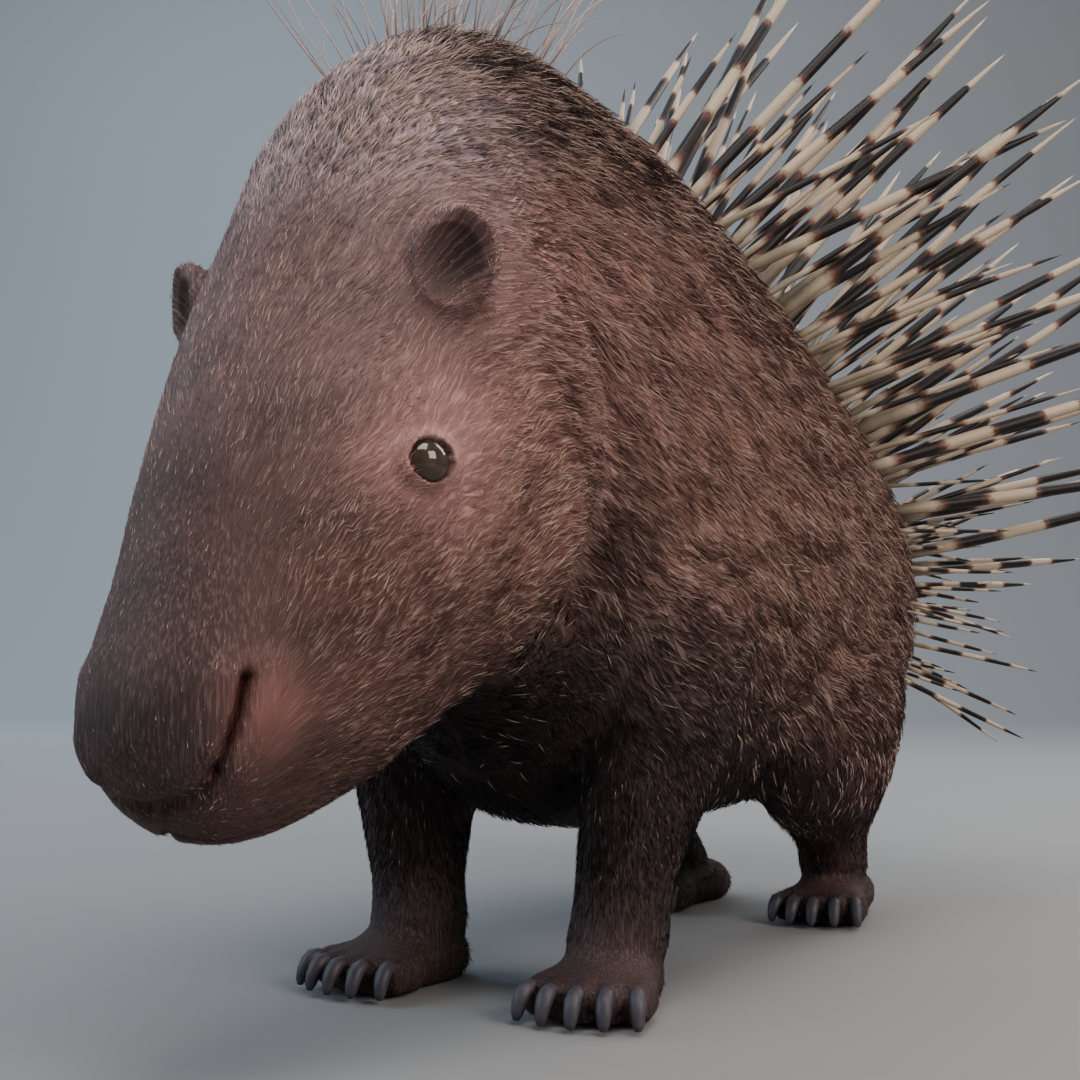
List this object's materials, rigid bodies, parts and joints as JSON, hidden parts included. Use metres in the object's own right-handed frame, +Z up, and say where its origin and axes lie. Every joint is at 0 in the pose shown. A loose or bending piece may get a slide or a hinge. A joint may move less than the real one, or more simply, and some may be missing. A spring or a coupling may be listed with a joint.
{
  "type": "crested porcupine",
  "caption": "Life-size still model of a crested porcupine standing on its four feet, head hung low, crest and banded quills raised.",
  "frame": {"origin": "on the floor, below the middle of the animal's reach with its quills", "axes": "+Y from the nose to the tail, +X to the animal's own left, +Z up"},
  "size_m": [0.4884, 0.7269, 0.5631],
  "materials": {
    "skin": "short flat mauve-brown fur over skin",
    "coat": "dark brown bristly coat, matt, with paler hair streaks",
    "quills": "hard quills banded cream and dark brown, satin",
    "eye": "wet, very dark brown"
  },
  "bodies": {
    "root": {"head": "skin", "ear_left": "skin", "ear_right": "skin", "neck": "coat", "chest": "coat", "front_leg_left": "coat", "front_leg_right": "coat", "front_foot_left": "coat", "front_foot_right": "coat", "hind_leg_left": "coat", "hind_leg_right": "coat", "hind_foot_left": "coat", "hind_foot_right": "coat", "torso": "quills", "tail": "quills", "eye_left": "eye", "eye_right": "eye"}
  },
  "joints": []
}
